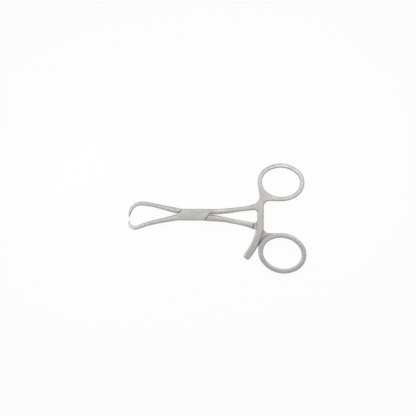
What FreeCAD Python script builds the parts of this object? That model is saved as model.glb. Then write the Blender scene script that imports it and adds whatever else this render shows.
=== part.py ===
import FreeCAD, Part
import math
import os

# Pointed bone reduction forceps with finger rings, a box lock and a ratchet bar.
#
# Two forged arms cross at a box lock. The ratchet arm carries the box, the lower jaw, the upper
# finger ring and a curved ratchet bar. The catch arm passes through the box as a thin tongue and
# carries the upper jaw, the lower finger ring and the catch teeth that the bar rides over. One
# pin, pressed into the two cheeks of the box, holds them together.
#
# Millimetres and degrees. The instrument lies flat: X runs from the jaws to the finger rings,
# Y across the jaws, Z up. The origin is on the pin's axis, at the underside of the box.

V = FreeCAD.Vector

# Box lock
box_thickness = 6.4
box_top = 4.0
box_bottom = -4.6
cheek_thickness = 1.7
jaw_shoulder_reach = 8.64
jaw_shoulder_facing = 135.5
shank_shoulder_reach = 9.21
shank_shoulder_facing = -34.0
shoulder_gap = 0.7
tongue_width = 3.84
tongue_angle = -13.2
tongue_hub_diameter = 6.4
tongue_into_jaw = 1.2
tongue_into_shank = 0.6
slide_clearance = 0.04
slot_clearance = 0.15
pin_diameter = 2.6
pin_play = 0.03
pin_end_bevel = 0.15

# Movement from the half closed rest to the two stops, and the room left in the slot past each
closing_angle = 2.5
opening_angle = 40.0
slot_spare_angle = 0.3

# Forged arms. Each long edge has a few equal bevels that lie close to a quarter round, which takes
# at most a set share of the width and of the height.
arm_thickness = 4.4
edge_round = 1.4
bevel_count = 3
largest_round_share = 0.44

# Ratchet bar, an arc about the pin. Other pieces that it meets take their place from its radius.
bar_radius = 49.73
bar_width = 5.25
bar_inner = bar_radius - bar_width / 2
bar_outer = bar_radius + bar_width / 2

# Finger rings: the opening, the band round it, and where the shank joins the ring
upper_ring_length = 27.9
upper_ring_width = 21.3
upper_ring_band = 3.15
upper_ring_past_bar = 14.24
upper_ring_y = 23.3
upper_ring_end_radius = 8.9
upper_ring_tilt = -3.5
upper_side_angle = 189.0
upper_side_run = 13.2
upper_side_radius = 6.0
lower_ring_length = 28.4
lower_ring_width = 22.4
lower_ring_band = 3.5
lower_ring_past_bar = 15.22
lower_ring_y = -28.5
lower_ring_end_radius = 9.4
lower_ring_tilt = -12.5
lower_side_angle = 181.0
lower_side_run = 15.6
lower_side_radius = 4.5

# The bar's teeth, and the catch that it rides over
bar_thickness = 1.8
bar_end_angle = -40.5
bar_root_angle = -1.0
bar_end_round = 2.0
catch_thickness = 1.6
tooth_pitch = 1.6
tooth_height = 0.45
tooth_land = 0.15
bar_plain_pitches = 1.5
catch_teeth = 5
catch_tooth_overhang = 1.2
catch_first_angle = -9.9
catch_inner_room = 2.5
catch_outer_room = 0.35
catch_start_angle = -2.0
catch_end_angle = -32.0
catch_web_depth = 9.0
catch_wall_lean = 0.7
ring_land = 0.15

# The webs that tie the bar to the upper ring and the catch to the lower one. From each join the
# bar's side runs on straight to a bend, and from there along Y.
upper_base_angle = 269.0
upper_web_foot_radius = 4.0
bar_outer_join_angle = -13.0
bar_outer_join_run = 1.74
bar_outer_bend_radius = 12.0
bar_inner_join_angle = -10.0
bar_inner_join_run = 1.25
bar_inner_bend_radius = 14.0
lower_crown_angle = 91.0
lower_web_x = bar_outer - 1.15
lower_web_foot_radius = 4.5

# Jaws: the step and depth with which they start in their root blocks, the length of the upper one
# before its root, and the ways in which the two points face
jaw_root_step = 0.05
jaw_root_depth = 0.3
upper_jaw_lead = 6.0
lower_point_angle = 94.0
upper_point_angle = -98.0

# Share of a jaw's length from root to point, width and height there
lower_jaw_stations = (
    (0.0, 4.55, 6.3),
    (0.03, 4.5, 6.2),
    (0.13, 3.95, 5.3),
    (0.25, 3.5, 4.7),
    (0.5, 3.15, 4.0),
    (0.7, 2.85, 3.4),
    (0.81, 2.65, 3.0),
    (0.9, 2.0, 2.3),
    (0.96, 1.2, 1.4),
    (1.0, 0.45, 0.5),
)
upper_jaw_stations = (
    (0.0, 3.95, 6.3),
    (0.03, 3.95, 6.2),
    (0.13, 3.7, 5.3),
    (0.25, 3.25, 4.7),
    (0.5, 2.95, 4.0),
    (0.7, 2.65, 3.4),
    (0.8, 2.6, 3.1),
    (0.9, 2.0, 2.4),
    (0.96, 1.4, 1.5),
    (1.0, 0.45, 0.5),
)
lower_jaw_root = V(-11.75, -2.3, 0)
lower_jaw_angle = 190.0
lower_jaw_line = [
    lower_jaw_root,
    V(-21.1, -4.2, 0),
    V(-30.0, -6.1, 0),
    V(-38.6, -8.75, 0),
    V(-43.0, -9.95, 0),
    V(-46.0, -8.3, 0),
    V(-47.0, -4.15, 0),
]
upper_jaw_root = V(-12.5, 2.85, 0)
upper_jaw_angle = 168.5
upper_jaw_line = [
    upper_jaw_root,
    V(-21.1, 4.85, 0),
    V(-29.8, 6.85, 0),
    V(-37.5, 7.75, 0),
    V(-42.3, 6.85, 0),
    V(-45.2, 3.9, 0),
    V(-46.9, -2.02, 0),
]

# Shanks between the box and the flat arms: place along X, lower side, upper side and thickness
flat_start = 25.0
flat_run = bar_inner - flat_start
root_step = 0.05
root_depth = 0.3
upper_root_stations = (
    (8.0, 0.2, 3.95, 6.3),
    (13.0, 0.17, 3.95, 6.3),
    (17.0, 0.14, 3.98, 5.95),
    (21.0, 0.27, 4.12, 4.95),
)
lower_root_stations = (
    (5.0, -4.73, -0.2, 6.3),
    (9.0, -4.94, -0.36, 6.3),
    (13.0, -5.16, -0.55, 6.3),
    (17.0, -5.38, -0.97, 5.95),
    (21.0, -5.6, -1.7, 4.95),
)

# Corners of the flat arms from there outwards, each with the radius that rounds it
upper_back_corners = [
    (V(flat_start, 4.44, 0), 0),
    (V(flat_start + 0.552 * flat_run, 5.65, 0), 30.0),
]
upper_belly_corners = [
    (V(flat_start, 0.63, 0), 0),
    (V(flat_start + 0.4525 * flat_run, 2.15, 0), 60.0),
]
upper_crotch_y = 3.25
upper_crotch_radius = 2.2
lower_back_corners = [
    (V(flat_start, -2.49, 0), 0),
    (V(bar_inner - 2.1, -6.3, 0), 1.8),
    (V(bar_inner - 0.2, -4.6, 0), 1.2),
    (V(bar_outer - 1.35, -5.4, 0), 1.5),
]
lower_belly_corners = [
    (V(flat_start, -6.2, 0), 0),
    (V(flat_start + 0.5205 * flat_run, -8.35, 0), 40.0),
]

# Height across the jaws at which the box's shoulder meets the lower jaw
lower_jaw_high = -0.02

# Length by which shapes that cut metal away run past it
overrun = 3.0

# Corners of the bevels: how far each lies from the face and from the side, as shares of the round
half_step = math.radians(45 / (bevel_count + 1))
bevel = [
    (1 - math.sin((2 * k + 1) * half_step) / math.cos(half_step),
     1 - math.cos((2 * k + 1) * half_step) / math.cos(half_step))
    for k in range(bevel_count, -1, -1)
]

mid = box_thickness / 2
arm_low = mid - arm_thickness / 2
arm_high = mid + arm_thickness / 2
tongue_low = cheek_thickness + slide_clearance
tongue_high = box_thickness - tongue_low


def direction(angle):
    return V(math.cos(math.radians(angle)), math.sin(math.radians(angle)), 0)


def polar(radius, angle):
    return direction(angle) * radius


def across(way):
    """The direction a quarter turn to the left of way."""
    return V(-way.y, way.x, 0)


def unit(way):
    way = V(way)
    way.normalize()
    return way


def line(a, b):
    return Part.LineSegment(a, b).toShape()


def arc(centre, radius, start, end):
    points = [centre + polar(radius, a) for a in (start, (start + end) / 2, end)]
    return Part.Arc(*points).toShape()


def turn(radius, start, end):
    """An arc about the pin from one angle to another."""
    return arc(V(0, 0, 0), radius, start, end)


def path(corners, inset, inner, square_start=False):
    """Straight runs joined by tangent arcs, set in towards the metal by inset.

    Each corner is a point and the radius that rounds it. The metal lies left of the way when inner
    is 1 and right of it when inner is -1. A square start stays at its own place along X.
    """
    ways = [unit(b - a) for (a, _), (b, _) in zip(corners, corners[1:])]
    shifts = [across(way) * (inner * inset) for way in ways]
    start = corners[0][0] + shifts[0]
    if square_start:
        start += ways[0] * ((corners[0][0].x - start.x) / ways[0].x)
    edges = []
    for (corner, radius), way_in, way_out, shift_in, shift_out in zip(
            corners[1:], ways, ways[1:], shifts, shifts[1:]):
        corner = corner + (shift_in + shift_out) / (1 + way_in.dot(way_out))
        left_turn = math.copysign(1, way_in.cross(way_out).z)
        radius -= left_turn * inner * inset
        half_turn = way_in.getAngle(way_out) / 2
        reach = radius * math.tan(half_turn)
        first = corner - way_in * reach
        last = corner + way_out * reach
        middle = corner + unit(way_out - way_in) * (radius / math.cos(half_turn) - radius)
        edges.append(line(start, first))
        edges.append(Part.Arc(first, middle, last).toShape())
        start = last
    edges.append(line(start, corners[-1][0] + shifts[-1]))
    return edges


def bevelled(outline, low, high):
    """A flat solid with its long edges bevelled. outline gives the edges in plan for any inset."""
    levels = [(low + rise * edge_round, inset * edge_round) for rise, inset in bevel]
    levels += [(high - rise * edge_round, inset * edge_round) for rise, inset in reversed(bevel)]
    wires = []
    for height, inset in levels:
        wire = Part.Wire(Part.__sortEdges__(outline(inset)))
        wire.translate(V(0, 0, height))
        wires.append(wire)
    return Part.makeLoft(wires, True, True)


def slab(edges, low, high):
    """A flat solid between two heights, with the outline that the edges close."""
    face = Part.Face(Part.Wire(Part.__sortEdges__(edges)))
    face.translate(V(0, 0, low))
    return face.extrude(V(0, 0, high - low))


def plate(points, low, high):
    return slab([line(a, b) for a, b in zip(points, points[1:] + points[:1])], low, high)


def sector(inner, outer, start, end, low, high, lean=0):
    """A solid between two radii about the pin, two angles and two heights.

    Its inner wall leans towards the pin, by lean from the low height to the high one.
    """
    wires = []
    for height, near in ((low, inner), (high, inner - lean)):
        wire = Part.Wire([
            turn(outer, start, end),
            line(polar(outer, end), polar(near, end)),
            turn(near, end, start),
            line(polar(near, start), polar(outer, start)),
        ])
        wire.translate(V(0, 0, height))
        wires.append(wire)
    return Part.makeLoft(wires, True, True)


def disc(radius, low, high):
    return Part.makeCylinder(radius, high - low, V(0, 0, low))


def on_shoulder(reach, facing, y):
    """The point at height y of the straight shoulder line that lies reach from the pin."""
    way = direction(facing)
    return V((reach - way.y * y) / way.x, y, 0)


def past_shoulder(near, far, facing, low, high):
    """All between the shoulder lines at near and far from the pin, and between two heights."""
    size = 2 * bar_radius
    block = Part.makeBox(far - near, size, high - low, V(near, -size / 2, low))
    block.rotate(V(0, 0, 0), V(0, 0, 1), facing)
    return block


def shouldered(arm, reach, facing):
    """An arm that ends at the shoulder line at reach, with a collar between the cheeks' heights.

    The collar carries the arm on towards the box, so that nothing shows through the gap.
    """
    box_side = reach - shoulder_gap
    ends = (-overrun, box_thickness + overrun)
    arm = arm.common(past_shoulder(box_side + slot_clearance, 2 * bar_radius, facing, *ends))
    over = past_shoulder(box_side, reach, facing, tongue_high, ends[1])
    under = past_shoulder(box_side, reach, facing, ends[0], tongue_low)
    return arm.cut(over).cut(under)


class Oval:
    """A finger ring's oval of four arcs, set out from the opening by a margin."""

    def __init__(self, centre, length, width, end_radius, tilt, margin):
        self.tilt = tilt
        along = direction(tilt)
        inset = length / 2 - end_radius
        wide_radius = (inset ** 2 + (width / 2) ** 2 - end_radius ** 2) / (width - 2 * end_radius)
        offset = wide_radius - width / 2
        self.end_half = math.degrees(math.atan2(offset, inset))
        self.centres = [
            centre + along * inset,
            centre - across(along) * offset,
            centre - along * inset,
            centre + across(along) * offset,
        ]
        self.radii = [end_radius + margin, wide_radius + margin] * 2

    def span(self, quarter):
        half = self.end_half if quarter % 2 == 0 else 90 - self.end_half
        middle = self.tilt + 90 * quarter
        return middle - half, middle + half

    def point(self, quarter, angle):
        return self.centres[quarter] + polar(self.radii[quarter], angle)

    def arc(self, quarter, start=None, end=None):
        low, high = self.span(quarter)
        start = low if start is None else start
        end = high if end is None else end
        return arc(self.centres[quarter], self.radii[quarter], start, end)

    def loop(self):
        return [self.arc(quarter) for quarter in range(4)]


def upper_oval(margin):
    centre = V(bar_radius + upper_ring_past_bar, upper_ring_y, 0)
    size = (upper_ring_length, upper_ring_width, upper_ring_end_radius)
    return Oval(centre, *size, upper_ring_tilt, margin)


def lower_oval(margin):
    centre = V(bar_radius + lower_ring_past_bar, lower_ring_y, 0)
    size = (lower_ring_length, lower_ring_width, lower_ring_end_radius)
    return Oval(centre, *size, lower_ring_tilt, margin)


def beam_section(centre, way, width, height):
    """A rectangle with bevelled corners, upright and square to way."""
    radius = min(edge_round, largest_round_share * min(width, height))
    side = across(way)
    points = []
    for u, w, order in ((1, 1, -1), (-1, 1, 1), (-1, -1, -1), (1, -1, 1)):
        for rise, inset in bevel[::order]:
            sideways = side * (u * (width / 2 - inset * radius))
            points.append(centre + sideways + V(0, 0, w * (height / 2 - rise * radius)))
    return Part.makePolygon(points + points[:1])


def shank_root(stations, back, belly):
    """A shank from the box to where the arm is flat, through bevelled sections."""
    x = flat_start + root_depth
    high, low = [a.y + (b - a).y / (b - a).x * root_depth for (a, _), (b, _) in (back[:2], belly[:2])]
    last = (x, low + root_step, high - root_step, arm_thickness - 2 * root_step)
    sections = []
    for x, low, high, height in stations + (last,):
        sections.append(beam_section(V(x, (low + high) / 2, mid), V(1, 0, 0), high - low, height))
    return Part.makeLoft(sections, True, False)


def jaw(points, way_in, way_out, stations, lead):
    """A jaw to its hooked point through bevelled sections, begun lead before its root."""
    spine = Part.BSplineCurve()
    spine.interpolate(Points=points, InitialTangent=way_in, FinalTangent=way_out, Scale=True)
    start = spine.FirstParameter
    _, root_width, root_height = stations[0]
    sections = []
    for before in (lead, lead / 2):
        place = points[0] - way_in * before + V(0, 0, mid)
        sections.append(beam_section(place, way_in, root_width, root_height))
    for share, width, height in stations:
        at = spine.parameterAtDistance(spine.length() * share, start)
        way = V(spine.tangent(at)[0])
        sections.append(beam_section(spine.value(at) + V(0, 0, mid), way, width, height))
    return Part.makeLoft(sections, True, False)


def tooth(angle, inner, outer, foot, side):
    """A radial ratchet tooth that rises from foot, up when side is 1 and down when it is -1."""
    half = tooth_pitch / 2
    profile = (
        (-half, -tooth_height),
        (-half, tooth_height),
        (tooth_land - half, tooth_height),
        (half, 0),
        (half, -tooth_height),
    )
    points = [V(inner, side * s, foot + side * w) for s, w in profile]
    edges = [line(a, b) for a, b in zip(points, points[1:] + points[:1])]
    body = Part.Face(Part.Wire(edges)).extrude(V(outer - inner, 0, 0))
    body.rotate(V(0, 0, 0), V(0, 0, 1), angle)
    return body


def teeth(first, count, inner, outer, foot, side):
    step = math.degrees(tooth_pitch / bar_radius)
    return Part.makeCompound([tooth(first - i * step, inner, outer, foot, side) for i in range(count)])


def slot():
    """The room that the tongue sweeps in the box, from the closed stop to the open one."""
    low = cheek_thickness
    high = box_thickness - cheek_thickness
    edge = tongue_width / 2 + slot_clearance
    closed = direction(tongue_angle + closing_angle + slot_spare_angle)
    opened = direction(tongue_angle - opening_angle - slot_spare_angle)
    reach = 1.3 * shank_shoulder_reach
    half = plate([
        across(closed) * edge,
        closed * reach + across(closed) * edge,
        direction(tongue_angle - opening_angle / 2) * 2 * reach,
        opened * reach - across(opened) * edge,
        across(opened) * -edge,
    ], low, high)
    other = half.copy()
    other.rotate(V(0, 0, 0), V(0, 0, 1), 180)
    hub = disc(tongue_hub_diameter / 2 + slot_clearance, low, high)
    return hub.fuse([half, other])


def bar_end(inset):
    """The rounded end of the ratchet bar, and the angles at which its two sides end."""
    r = bar_end_round
    outer_angle = bar_end_angle + math.degrees(math.asin(r / (bar_outer - r)))
    inner_angle = bar_end_angle + math.degrees(math.asin(r / (bar_inner + r)))
    outer_centre = polar(bar_outer - r, outer_angle)
    inner_centre = polar(bar_inner + r, inner_angle)
    r -= inset
    back = direction(bar_end_angle - 90) * r
    outer_middle = direction((outer_angle + bar_end_angle - 90) / 2) * r
    inner_middle = direction((inner_angle + bar_end_angle - 270) / 2) * r
    outer_start = polar(bar_outer - inset, outer_angle)
    inner_end = polar(bar_inner + inset, inner_angle)
    edges = [
        Part.Arc(outer_start, outer_centre + outer_middle, outer_centre + back).toShape(),
        line(outer_centre + back, inner_centre + back),
        Part.Arc(inner_centre + back, inner_centre + inner_middle, inner_end).toShape(),
    ]
    return outer_angle, inner_angle, edges


def bar_bend(radius, angle, run):
    """The bend and the join of a side of the bar that runs on straight from the join at angle."""
    join = polar(radius, angle)
    return join + direction(angle + 90) * run, join


def ratchet_outline(inset):
    """The upper arm and ring with the blank of the ratchet bar, in plan."""
    full = upper_oval(upper_ring_band)
    ring = upper_oval(upper_ring_band - inset)
    side = full.point(2, upper_side_angle)
    base = full.point(3, upper_base_angle)
    outer_bend, outer_join = bar_bend(bar_outer, bar_outer_join_angle, bar_outer_join_run)
    inner_bend, inner_join = bar_bend(bar_inner, bar_inner_join_angle, bar_inner_join_run)
    foot_rise = (base.x - outer_bend.x) * math.tan(math.radians(270 - upper_base_angle))
    foot = V(outer_bend.x, base.y + foot_rise, 0)
    elbow = side + direction(upper_side_angle + 90) * upper_side_run
    back = path(upper_back_corners + [(elbow, upper_side_radius), (side, 0)], inset, -1, True)
    web = path([
        (base, 0),
        (foot, upper_web_foot_radius),
        (outer_bend, bar_outer_bend_radius),
        (outer_join, 0),
    ], inset, -1)
    crotch = (V(inner_bend.x, upper_crotch_y, 0), upper_crotch_radius)
    inner_corners = [crotch, (inner_bend, bar_inner_bend_radius), (inner_join, 0)]
    belly = path(upper_belly_corners + inner_corners, inset, 1, True)
    rim = [ring.arc(2, None, upper_side_angle), ring.arc(1), ring.arc(0), ring.arc(3, upper_base_angle)]
    outer_angle, inner_angle, end = bar_end(inset)
    outer_arc = turn(bar_outer - inset, bar_outer_join_angle, outer_angle)
    inner_arc = turn(bar_inner + inset, inner_angle, bar_inner_join_angle)
    start = line(belly[0].firstVertex().Point, back[0].firstVertex().Point)
    return back + rim + web + [outer_arc] + end + [inner_arc] + belly + [start]


def catch_outline(inset):
    """The lower arm and ring with the blank of the catch, in plan."""
    full = lower_oval(lower_ring_band)
    ring = lower_oval(lower_ring_band - inset)
    side = full.point(2, lower_side_angle)
    crown = full.point(1, lower_crown_angle)
    crown_rise = (crown.x - lower_web_x) * math.tan(math.radians(lower_crown_angle - 90))
    foot = V(lower_web_x, crown.y - crown_rise, 0)
    elbow = side + direction(lower_side_angle - 90) * lower_side_run
    back = path(lower_back_corners + [(foot, lower_web_foot_radius), (crown, 0)], inset, -1, True)
    belly = path(lower_belly_corners + [(elbow, lower_side_radius), (side, 0)], inset, 1, True)
    rim = [ring.arc(1, None, lower_crown_angle), ring.arc(0), ring.arc(3), ring.arc(2, lower_side_angle)]
    start = line(belly[0].firstVertex().Point, back[0].firstVertex().Point)
    return back + rim + belly + [start]


def flat_arm(outline, oval):
    """A flat arm with its finger ring."""
    def opening(inset):
        return oval(inset).loop()
    return bevelled(outline, arm_low, arm_high).cut(bevelled(opening, arm_low, arm_high))


def ratchet_arm():
    reach_jaw = jaw_shoulder_reach - shoulder_gap / 2
    reach_shank = shank_shoulder_reach - shoulder_gap / 2
    way = direction(lower_jaw_angle)
    side = across(way) * (lower_jaw_stations[0][1] / 2 + jaw_root_step)
    points = [
        on_shoulder(reach_jaw, jaw_shoulder_facing, box_top + overrun),
        on_shoulder(reach_shank, shank_shoulder_facing, box_top + overrun),
        on_shoulder(reach_shank, shank_shoulder_facing, box_bottom - overrun),
        lower_jaw_root + side * 2,
        lower_jaw_root - side,
        on_shoulder(reach_jaw, jaw_shoulder_facing, lower_jaw_high),
    ]
    blank_length = 6 * jaw_shoulder_reach
    centre = V(-blank_length / 2, (box_top + box_bottom) / 2, mid)
    section = Part.Face(beam_section(centre, V(1, 0, 0), box_top - box_bottom, box_thickness))
    box = section.extrude(V(blank_length, 0, 0)).common(plate(points, 0, box_thickness))
    hook = jaw(lower_jaw_line, way, direction(lower_point_angle), lower_jaw_stations, jaw_root_depth)
    root = shank_root(upper_root_stations, upper_back_corners, upper_belly_corners)
    body = box.fuse([root, flat_arm(ratchet_outline, upper_oval), hook])
    near = bar_inner - overrun
    far = bar_outer + overrun
    ceiling = arm_high - bar_thickness
    under = sector(near, far, bar_root_angle, bar_end_angle - overrun, -overrun, ceiling)
    pitches = math.radians(bar_root_angle - bar_end_angle) * bar_radius / tooth_pitch
    first = bar_root_angle - bar_plain_pitches * math.degrees(tooth_pitch / bar_radius)
    ridges = teeth(first, int(pitches - 2 * bar_plain_pitches) + 1, near, far, ceiling, -1)
    body = body.cut(under.cut(ridges))
    body = body.cut(slot())
    return body.cut(disc(pin_diameter / 2, -overrun, box_thickness + overrun))


def catch_recess():
    """The room over the catch's teeth, with leaning walls towards the shank and the ring."""
    floor = arm_low + catch_thickness
    heights = (floor, arm_high)
    span = (catch_start_angle, catch_end_angle)
    inner = bar_inner - catch_inner_room
    outer = bar_outer + catch_outer_room
    room = sector(inner, outer, *span, *heights, catch_wall_lean)
    web = sector(bar_outer, bar_outer + catch_web_depth, *span, *heights)
    lands = []
    for height, margin in zip(heights, (ring_land + catch_wall_lean, ring_land)):
        wire = Part.Wire(lower_oval(lower_ring_band + margin).loop())
        wire.translate(V(0, 0, height))
        lands.append(wire)
    web = web.cut(Part.makeLoft(lands, True, True))
    ridges = teeth(catch_first_angle, catch_teeth, bar_inner - catch_tooth_overhang, bar_outer, floor, 1)
    return room.fuse(web).cut(ridges)


def catch_arm():
    reach_jaw = jaw_shoulder_reach + shoulder_gap / 2
    reach_shank = shank_shoulder_reach + shoulder_gap / 2
    way = direction(upper_jaw_angle)
    hook = jaw(upper_jaw_line, way, direction(upper_point_angle), upper_jaw_stations, upper_jaw_lead)
    hook = shouldered(hook, reach_jaw, jaw_shoulder_facing)
    root = shank_root(lower_root_stations, lower_back_corners, lower_belly_corners)
    root = shouldered(root, reach_shank, shank_shoulder_facing)
    along = direction(tongue_angle)
    half = across(along) * (tongue_width / 2)
    left = along * -(reach_jaw + tongue_into_jaw)
    right = along * (reach_shank + tongue_into_shank)
    strip = plate([left + half, right + half, right - half, left - half], tongue_low, tongue_high)
    hub = disc(tongue_hub_diameter / 2, tongue_low, tongue_high)
    body = hook.fuse([strip, hub, root, flat_arm(catch_outline, lower_oval)])
    body = body.cut(catch_recess())
    return body.cut(disc(pin_diameter / 2 + pin_play, -overrun, box_thickness + overrun))


def pivot_pin():
    body = disc(pin_diameter / 2, 0, box_thickness)
    rims = [e for e in body.Edges if e.Closed and abs(e.Length - math.pi * pin_diameter) < 0.01]
    return body.makeChamfer(pin_end_bevel, rims)


os.makedirs("parts", exist_ok=True)
for name, make in (("ratchet_arm", ratchet_arm), ("catch_arm", catch_arm), ("pivot_pin", pivot_pin)):
    make().Solids[0].exportStep("parts/" + name + ".step")
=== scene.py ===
import bpy
import bmesh
import math
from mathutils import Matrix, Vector


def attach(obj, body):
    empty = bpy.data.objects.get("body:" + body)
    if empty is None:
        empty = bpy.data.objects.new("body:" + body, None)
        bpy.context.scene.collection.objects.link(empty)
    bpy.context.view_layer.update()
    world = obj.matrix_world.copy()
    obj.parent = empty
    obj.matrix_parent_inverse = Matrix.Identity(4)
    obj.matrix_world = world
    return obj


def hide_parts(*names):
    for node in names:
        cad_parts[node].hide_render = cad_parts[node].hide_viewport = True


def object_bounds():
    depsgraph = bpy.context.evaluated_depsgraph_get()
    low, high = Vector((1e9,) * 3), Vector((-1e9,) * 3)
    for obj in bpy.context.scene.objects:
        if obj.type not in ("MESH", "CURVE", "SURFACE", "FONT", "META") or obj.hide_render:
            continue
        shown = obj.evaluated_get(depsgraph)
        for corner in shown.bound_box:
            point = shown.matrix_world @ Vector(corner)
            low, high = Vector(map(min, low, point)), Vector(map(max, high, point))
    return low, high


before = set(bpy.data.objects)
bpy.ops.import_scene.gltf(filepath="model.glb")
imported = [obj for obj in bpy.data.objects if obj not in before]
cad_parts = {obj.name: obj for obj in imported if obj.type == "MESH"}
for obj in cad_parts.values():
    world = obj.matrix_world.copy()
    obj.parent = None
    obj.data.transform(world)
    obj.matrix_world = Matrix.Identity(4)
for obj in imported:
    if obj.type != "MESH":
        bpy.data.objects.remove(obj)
cad_low, cad_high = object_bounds()


# Camera: it looks straight down on the instrument, which lies across the middle of the frame with
# its jaws to the left. A long lens keeps the view flat.
frame_width = 0.3035
view_centre = Vector((0.01065, 0.0046, 0.0045))
lens_mm = 200.0
sensor_mm = 36.0
camera_data = bpy.data.cameras.new("studio_camera")
camera_data.lens = lens_mm
camera_data.sensor_width = sensor_mm
camera_height = frame_width * lens_mm / sensor_mm
camera = bpy.data.objects.new("studio_camera", camera_data)
camera.location = view_centre + Vector((0, 0, camera_height))
bpy.context.scene.collection.objects.link(camera)
bpy.context.scene.camera = camera


# Ratchet arm: one stainless forging with the box, the lower jaw, the upper finger ring and the
# ratchet bar. Its edges are broken by hand and the whole is blasted to a satin grey.
edge_break = 0.00009
break_segments = 2
sharp_angle = math.radians(34)
flat_angle = math.radians(0.2)
same_place = 1e-7
same_plane = 2e-6
step_reach = 0.00025
shank_join = (Vector((0.025, 0, 0)), Vector((1, 0, 0)))
lower_jaw_root = Vector((-0.01175, -0.0023, 0))
lower_jaw_way = math.radians(190)
lower_jaw_join = (lower_jaw_root, Vector((math.cos(lower_jaw_way), math.sin(lower_jaw_way), 0)))


def apply_modifiers(piece):
    """Give the piece the mesh that its modifiers show, and remove them."""
    shown = piece.evaluated_get(bpy.context.evaluated_depsgraph_get())
    mesh = bpy.data.meshes.new_from_object(shown)
    piece.modifiers.clear()
    piece.data = mesh


def finished_piece(part, name, *joins):
    """The solid as one closed mesh with broken edges, smooth rounds and true flats.

    Each join is a point and a direction: the plane in which two lengths of a forging meet. The thin
    step there is ground away.
    """
    bm = bmesh.new()
    bm.from_mesh(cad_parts[part].data)
    bmesh.ops.remove_doubles(bm, verts=bm.verts, dist=same_place)
    for place, way in joins:
        step = [v for v in bm.verts if abs((v.co - place).dot(way)) < same_plane]
        bmesh.ops.remove_doubles(bm, verts=step, dist=step_reach)
    bmesh.ops.dissolve_degenerate(bm, edges=bm.edges, dist=same_place)
    bmesh.ops.dissolve_limit(bm, angle_limit=flat_angle, verts=bm.verts, edges=bm.edges)
    verts = [v.co.copy() for v in bm.verts]
    bm.verts.index_update()
    faces = [[v.index for v in f.verts] for f in bm.faces]
    bm.free()
    mesh = bpy.data.meshes.new(name)
    mesh.from_pydata(verts, [], faces)
    piece = bpy.data.objects.new(name, mesh)
    bpy.context.scene.collection.objects.link(piece)
    bevel = piece.modifiers.new("edge_break", "BEVEL")
    bevel.width = edge_break
    bevel.segments = break_segments
    bevel.limit_method = "ANGLE"
    bevel.angle_limit = sharp_angle
    bevel.use_clamp_overlap = True
    apply_modifiers(piece)
    bm = bmesh.new()
    bm.from_mesh(piece.data)
    for face in bm.faces:
        face.smooth = True
    for edge in bm.edges:
        edge.smooth = not edge.is_manifold or edge.calc_face_angle(0) < sharp_angle
    bm.to_mesh(piece.data)
    bm.free()
    flats = piece.modifiers.new("true_flats", "WEIGHTED_NORMAL")
    flats.mode = "FACE_AREA"
    flats.weight = 100
    flats.keep_sharp = True
    apply_modifiers(piece)
    piece.data.name = name
    return piece


def socket(tree, way, kind, name, value=None):
    """A named input or output of a node group."""
    made = tree.interface.new_socket(name=name, in_out=way, socket_type="NodeSocket" + kind)
    if value is not None:
        made.default_value = value
    return made


def node(tree, kind, **values):
    """A node with its settings and unlinked inputs set by name."""
    made = tree.nodes.new(kind)
    for key, value in values.items():
        if hasattr(made, key):
            setattr(made, key, value)
        else:
            made.inputs[key.replace("_", " ")].default_value = value
    return made


blast_scale = 12000.0
grind_scale = (260.0, 2600.0, 2600.0)
grind_share = 0.35
grain_height = 0.000012
cloud_scale = 95.0
painted_shade_reach = 0.0014
worn_smoothness = 0.12


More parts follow.
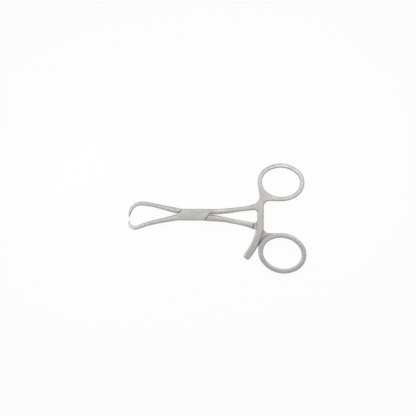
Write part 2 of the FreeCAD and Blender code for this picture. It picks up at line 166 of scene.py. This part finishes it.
def satin_surface():
    """Colour, roughness and relief of handled, blasted stainless steel, with painted shade in
    recesses.
    """
    tree = bpy.data.node_groups.new("satin_surface", "ShaderNodeTree")
    socket(tree, "INPUT", "Color", "Steel", (0.5, 0.5, 0.5, 1))
    socket(tree, "INPUT", "Color", "Worn", (0.7, 0.7, 0.7, 1))
    socket(tree, "INPUT", "Float", "Roughness", 0.45)
    socket(tree, "INPUT", "Float", "Grain", 0.3)
    socket(tree, "INPUT", "Float", "Wear", 0.5)
    socket(tree, "OUTPUT", "Color", "Colour")
    socket(tree, "OUTPUT", "Float", "Roughness")
    socket(tree, "OUTPUT", "Vector", "Normal")
    link = tree.links.new
    given = tree.nodes.new("NodeGroupInput")
    out = tree.nodes.new("NodeGroupOutput")
    place = tree.nodes.new("ShaderNodeTexCoord")

    blast = node(tree, "ShaderNodeTexNoise", Scale=blast_scale, Detail=2.0)
    link(place.outputs["Object"], blast.inputs["Vector"])
    stretch = node(tree, "ShaderNodeMapping", Scale=grind_scale)
    link(place.outputs["Object"], stretch.inputs["Vector"])
    grind = node(tree, "ShaderNodeTexNoise", Scale=1.0, Detail=2.0)
    link(stretch.outputs["Vector"], grind.inputs["Vector"])
    cloud = node(tree, "ShaderNodeTexNoise", Scale=cloud_scale, Detail=4.0, Roughness=0.6)
    link(place.outputs["Object"], cloud.inputs["Vector"])

    relief = node(tree, "ShaderNodeMix", data_type="FLOAT")
    relief.inputs["Factor"].default_value = grind_share
    link(blast.outputs["Fac"], relief.inputs["A"])
    link(grind.outputs["Fac"], relief.inputs["B"])
    bump = node(tree, "ShaderNodeBump", Distance=grain_height)
    link(given.outputs["Grain"], bump.inputs["Strength"])
    link(relief.outputs["Result"], bump.inputs["Height"])
    link(bump.outputs["Normal"], out.inputs["Normal"])

    shape = tree.nodes.new("ShaderNodeNewGeometry")
    edge = node(tree, "ShaderNodeMapRange", From_Min=0.52, From_Max=0.62)
    link(shape.outputs["Pointiness"], edge.inputs["Value"])
    worn = node(tree, "ShaderNodeMath", operation="MULTIPLY")
    link(edge.outputs["Result"], worn.inputs[0])
    link(given.outputs["Wear"], worn.inputs[1])
    # Painted shade: the colour darkens where the piece's own walls close in, in its slots, recesses
    # and at the foot of steps.
    shade_occlusion = node(tree, "ShaderNodeAmbientOcclusion", only_local=True, samples=8,
                   Distance=painted_shade_reach)
    painted_recess_shade = node(tree, "ShaderNodeMapRange", From_Min=0.4, From_Max=0.85, To_Min=0.2, To_Max=1.0)
    link(shade_occlusion.outputs["AO"], painted_recess_shade.inputs["Value"])

    uneven = node(tree, "ShaderNodeMapRange", From_Min=0.3, From_Max=0.7, To_Min=0.93, To_Max=1.05)
    link(cloud.outputs["Fac"], uneven.inputs["Value"])
    shade = node(tree, "ShaderNodeMath", operation="MULTIPLY")
    link(uneven.outputs["Result"], shade.inputs[0])
    link(painted_recess_shade.outputs["Result"], shade.inputs[1])
    tint = node(tree, "ShaderNodeMix", data_type="RGBA")
    link(worn.outputs["Value"], tint.inputs["Factor"])
    link(given.outputs["Steel"], tint.inputs["A"])
    link(given.outputs["Worn"], tint.inputs["B"])
    colour = node(tree, "ShaderNodeVectorMath", operation="SCALE")
    link(tint.outputs["Result"], colour.inputs["Vector"])
    link(shade.outputs["Value"], colour.inputs["Scale"])
    link(colour.outputs["Vector"], out.inputs["Colour"])

    smear = node(tree, "ShaderNodeMapRange", From_Min=0.3, From_Max=0.7, To_Min=0.06, To_Max=-0.06)
    link(cloud.outputs["Fac"], smear.inputs["Value"])
    rough = node(tree, "ShaderNodeMath", operation="ADD")
    link(given.outputs["Roughness"], rough.inputs[0])
    link(smear.outputs["Result"], rough.inputs[1])
    gloss = node(tree, "ShaderNodeMath", operation="MULTIPLY_ADD")
    link(worn.outputs["Value"], gloss.inputs[0])
    gloss.inputs[1].default_value = -worn_smoothness
    link(rough.outputs["Value"], gloss.inputs[2])
    link(gloss.outputs["Value"], out.inputs["Roughness"])
    return tree


satin_tree = satin_surface()


def steel(name, colour, worn_colour, roughness, grain, wear):
    """A stainless steel finish whose unevenness and painted recess shade come from the satin
    surface group.
    """
    material = bpy.data.materials.new(name)
    material.use_nodes = True
    tree = material.node_tree
    shader = tree.nodes["Principled BSDF"]
    shader.inputs["Metallic"].default_value = 1.0
    surface = tree.nodes.new("ShaderNodeGroup")
    surface.node_tree = satin_tree
    surface.inputs["Steel"].default_value = (*colour, 1)
    surface.inputs["Worn"].default_value = (*worn_colour, 1)
    surface.inputs["Roughness"].default_value = roughness
    surface.inputs["Grain"].default_value = grain
    surface.inputs["Wear"].default_value = wear
    tree.links.new(surface.outputs["Colour"], shader.inputs["Base Color"])
    tree.links.new(surface.outputs["Roughness"], shader.inputs["Roughness"])
    tree.links.new(surface.outputs["Normal"], shader.inputs["Normal"])
    return material


satin_colour = (0.62, 0.60, 0.575)
satin_worn_colour = (0.76, 0.75, 0.73)
satin_steel = steel("satin_steel", satin_colour, satin_worn_colour,
                    roughness=0.56, grain=0.35, wear=0.5)
ratchet_arm = finished_piece("ratchet_arm", "ratchet_arm_forging", shank_join, lower_jaw_join)
ratchet_arm.data.materials.append(satin_steel)
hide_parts("ratchet_arm")
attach(ratchet_arm, "ratchet_body")


# Catch arm: the second forging, whose thin tongue runs through the box. It carries the upper jaw,
# the lower finger ring and the short row of teeth that the ratchet bar rides over.
catch_arm = finished_piece("catch_arm", "catch_arm_forging", shank_join)
catch_arm.data.materials.append(satin_steel)
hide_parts("catch_arm")
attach(catch_arm, "catch_body")


# Pivot pin: a short round of harder steel, on which the tongue turns. It is pressed into the two
# cheeks of the box and then ground flush, so only its two brighter ends show.
pin_colour = (0.72, 0.705, 0.69)
pin_worn_colour = (0.8, 0.79, 0.78)
pin_steel = steel("pin_steel", pin_colour, pin_worn_colour, roughness=0.5, grain=0.2, wear=0.4)
pivot_pin = finished_piece("pivot_pin", "pivot_pin_ground")
pivot_pin.data.materials.append(pin_steel)
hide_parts("pivot_pin")
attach(pivot_pin, "ratchet_body")


# Table: a wide white sheet that the instrument lies on. It looks white to the camera and in the
# steel, and still takes the instrument's soft shadow. Where it lies deep under narrow slits between
# the parts, its glow is dimmed, a painted shadow. It reaches further to one side, so that its
# diagonal passes clear of the instrument.
table_reach = 20.0
table_colour = (0.85, 0.85, 0.85, 1)
shadow_share = 0.06
painted_shadow_reach = 0.012
table_mesh = bpy.data.meshes.new("white_table")
corners = [(-table_reach, -table_reach, 0), (table_reach, -table_reach, 0),
           (table_reach, table_reach / 2, 0), (-table_reach, table_reach / 2, 0)]
table_mesh.from_pydata([Vector(c) + Vector((0, 0, cad_low.z)) for c in corners], [], [(0, 1, 2, 3)])
table = bpy.data.objects.new("white_table", table_mesh)
bpy.context.scene.collection.objects.link(table)
table_white = bpy.data.materials.new("table_white")
table_white.use_nodes = True
tree = table_white.node_tree
tree.nodes.clear()
matt = tree.nodes.new("ShaderNodeBsdfDiffuse")
matt.inputs["Color"].default_value = table_colour
glow = tree.nodes.new("ShaderNodeEmission")
glow.inputs["Color"].default_value = (1, 1, 1, 1)
# Painted shadow: the glow is dimmed where the instrument closes in over the table, so narrow slits
# between its parts look dark.
shadow_occlusion = node(tree, "ShaderNodeAmbientOcclusion", samples=16, Distance=painted_shadow_reach)
glow_with_painted_shadow = node(tree, "ShaderNodeMapRange", From_Min=0.01, From_Max=0.13, To_Min=0.1, To_Max=1.0)
tree.links.new(shadow_occlusion.outputs["AO"], glow_with_painted_shadow.inputs["Value"])
tree.links.new(glow_with_painted_shadow.outputs["Result"], glow.inputs["Strength"])
rays = tree.nodes.new("ShaderNodeLightPath")
mirrored = node(tree, "ShaderNodeMath", operation="MAXIMUM")
tree.links.new(rays.outputs["Is Glossy Ray"], mirrored.inputs[0])
tree.links.new(rays.outputs["Is Transmission Ray"], mirrored.inputs[1])
seen = node(tree, "ShaderNodeMath", operation="MAXIMUM")
tree.links.new(rays.outputs["Is Camera Ray"], seen.inputs[0])
tree.links.new(mirrored.outputs["Value"], seen.inputs[1])
share = node(tree, "ShaderNodeMath", operation="MULTIPLY")
share.inputs[1].default_value = 1 - shadow_share
tree.links.new(seen.outputs["Value"], share.inputs[0])
blend = tree.nodes.new("ShaderNodeMixShader")
tree.links.new(share.outputs["Value"], blend.inputs["Fac"])
tree.links.new(matt.outputs["BSDF"], blend.inputs[1])
tree.links.new(glow.outputs["Emission"], blend.inputs[2])
end = tree.nodes.new("ShaderNodeOutputMaterial")
tree.links.new(blend.outputs["Shader"], end.inputs["Surface"])
table_mesh.materials.append(table_white)


# Light: an even pale room, and a soft box close over the finger rings and another over the jaws, so
# that the steel is palest at the upper ring and at the hooked points.
light_box_size = 0.12
room_way = (0.0, -0.3, -0.6)
room_dark = 0.38
room_pale = 0.56


def light_box(name, place, aim, power):
    """A square soft light that faces a point."""
    data = bpy.data.lights.new(name, "AREA")
    data.shape = "SQUARE"
    data.size = light_box_size
    data.energy = power
    lamp = bpy.data.objects.new(name, data)
    lamp.location = place
    lamp.rotation_euler = (Vector(aim) - Vector(place)).to_track_quat("-Z", "Y").to_euler()
    bpy.context.scene.collection.objects.link(lamp)


light_box("soft_box_rings", place=(0.085, 0.065, 0.11), aim=(0.03, 0.0, 0.0), power=0.085)
light_box("soft_box_jaws", place=(-0.1, 0.035, 0.11), aim=(0.0, 0.0, 0.0), power=0.095)
world = bpy.data.worlds.new("soft_room")
world.use_nodes = True
bpy.context.scene.world = world
tree = world.node_tree
sky = tree.nodes["Background"]
facing = tree.nodes.new("ShaderNodeTexCoord")
way = node(tree, "ShaderNodeVectorMath", operation="DOT_PRODUCT")
way.inputs[1].default_value = room_way
tree.links.new(facing.outputs["Generated"], way.inputs[0])
tone = node(tree, "ShaderNodeMapRange", From_Min=-1.0, From_Max=1.0,
            To_Min=room_dark, To_Max=room_pale)
tree.links.new(way.outputs["Value"], tone.inputs["Value"])
grey = tree.nodes.new("ShaderNodeCombineColor")
for channel in ("Red", "Green", "Blue"):
    tree.links.new(tone.outputs["Result"], grey.inputs[channel])
tree.links.new(grey.outputs["Color"], sky.inputs["Color"])
sky.inputs["Strength"].default_value = 1.0
bpy.context.scene.view_settings.view_transform = "Standard"
